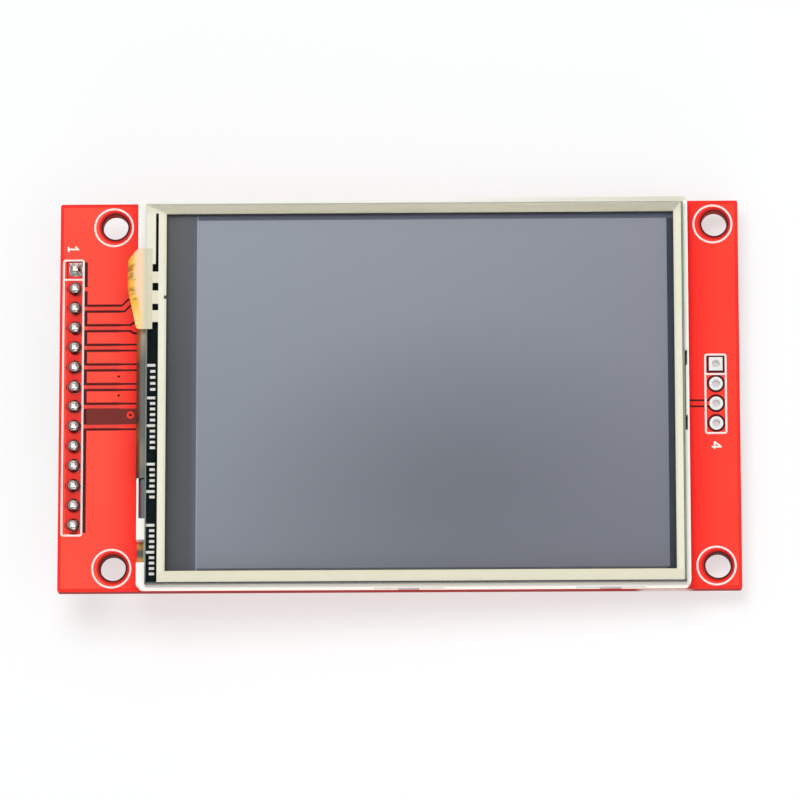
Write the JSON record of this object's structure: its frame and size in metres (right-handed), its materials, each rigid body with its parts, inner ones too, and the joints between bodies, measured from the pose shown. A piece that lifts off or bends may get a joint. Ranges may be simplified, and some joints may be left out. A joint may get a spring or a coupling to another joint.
{
  "type": "tft display module",
  "caption": "Small colour display with a resistive touch panel on a red circuit board, with a row of header pins at one end, card-header pads at the other and a memory card socket behind.",
  "frame": {"origin": "centre of the four mounting holes, on the back face of the circuit board", "axes": "+X along the board's long side, from the pin header towards the card-header pads; +Y towards the board's upper long edge, with the pin header on the left; +Z out of the screen"},
  "size_m": [0.086, 0.05, 0.0138],
  "materials": {
    "board_red": "glossy red lacquer over copper on glass-fibre laminate, semi-matte at the routed edge",
    "tinned_pads": "smooth bright tin plating",
    "white_ink": "thin matt white ink",
    "black_plastic": "moulded black plastic, fine matt",
    "gilt_pins": "bright gilt over brass, smooth",
    "solder": "bright fused solder, slightly rippled",
    "foam_tape": "white double-sided foam",
    "tray_steel": "thin rolled stainless steel, satin",
    "frame_white": "moulded white plastic, smooth satin",
    "reflector_film": "bright white mirror film",
    "guide_acrylic": "clear moulded acrylic",
    "led_package": "pale resin over white plastic",
    "flex_green": "dark green flexible circuit with gilt edges",
    "diffuser_film": "white frosted film",
    "prism_film": "finely ribbed clear film",
    "black_tape": "matt black adhesive film",
    "polarizer_film": "smooth grey polarising film",
    "thin_glass": "thin polished glass, pale green edge",
    "filter_stack": "colour filter glass, dark grey through its thickness",
    "silicon": "polished silicon",
    "sealant": "grey-green sealant, smooth",
    "flex_brown": "brown polyimide flexible circuit over copper traces",
    "adhesive_ivory": "ivory double-sided adhesive",
    "touch_glass": "polished soda glass, green-grey ground edge",
    "border_cream": "printed cream insulating ink",
    "touch_film": "clear hard-coated film, fine anti-glare",
    "flex_orange": "amber polyimide flexible circuit with copper traces",
    "cover_steel": "thin rolled nickel-plated steel, fine grain",
    "contact_gold": "gilt spring contact",
    "chip_black": "black moulding compound, fine matt",
    "tinned_leads": "tin-plated leads, satin",
    "resistor_black": "glazed black face over white ceramic",
    "capacitor_tan": "fired tan ceramic, smooth"
  },
  "bodies": {
    "root": {"circuit_board": "board_red", "plated_pads": "tinned_pads", "silkscreen": "white_ink", "header_strip": "black_plastic", "header_pins": "gilt_pins", "header_solder": "solder", "display_tape": "foam_tape", "rear_tray": "tray_steel", "backlight_frame": "frame_white", "reflector_sheet": "reflector_film", "light_guide": "guide_acrylic", "backlight_leds": "led_package", "backlight_flex": "flex_green", "diffuser_sheet": "diffuser_film", "lower_prism_sheet": "prism_film", "upper_prism_sheet": "prism_film", "shade_tape": "black_tape", "rear_polarizer": "polarizer_film", "transistor_glass": "thin_glass", "filter_glass": "filter_stack", "front_polarizer": "polarizer_film", "driver_chip": "silicon", "ledge_sealant": "sealant", "ledge_tape": "black_tape", "display_flex": "flex_brown", "flex_solder": "solder", "touch_adhesive": "adhesive_ivory", "touch_glass": "touch_glass", "touch_border": "border_cream", "touch_film": "touch_film", "touch_flex": "flex_orange", "socket_base": "black_plastic", "socket_contacts": "contact_gold", "socket_shell": "cover_steel", "touch_controller": "chip_black", "touch_controller_leads": "tinned_leads", "regulator": "chip_black", "regulator_leads": "tinned_leads", "backlight_transistor": "chip_black", "backlight_transistor_leads": "tinned_leads", "resistors": "resistor_black", "capacitors": "capacitor_tan", "chip_terminals": "tinned_leads", "back_solder": "solder"}
  },
  "joints": []
}
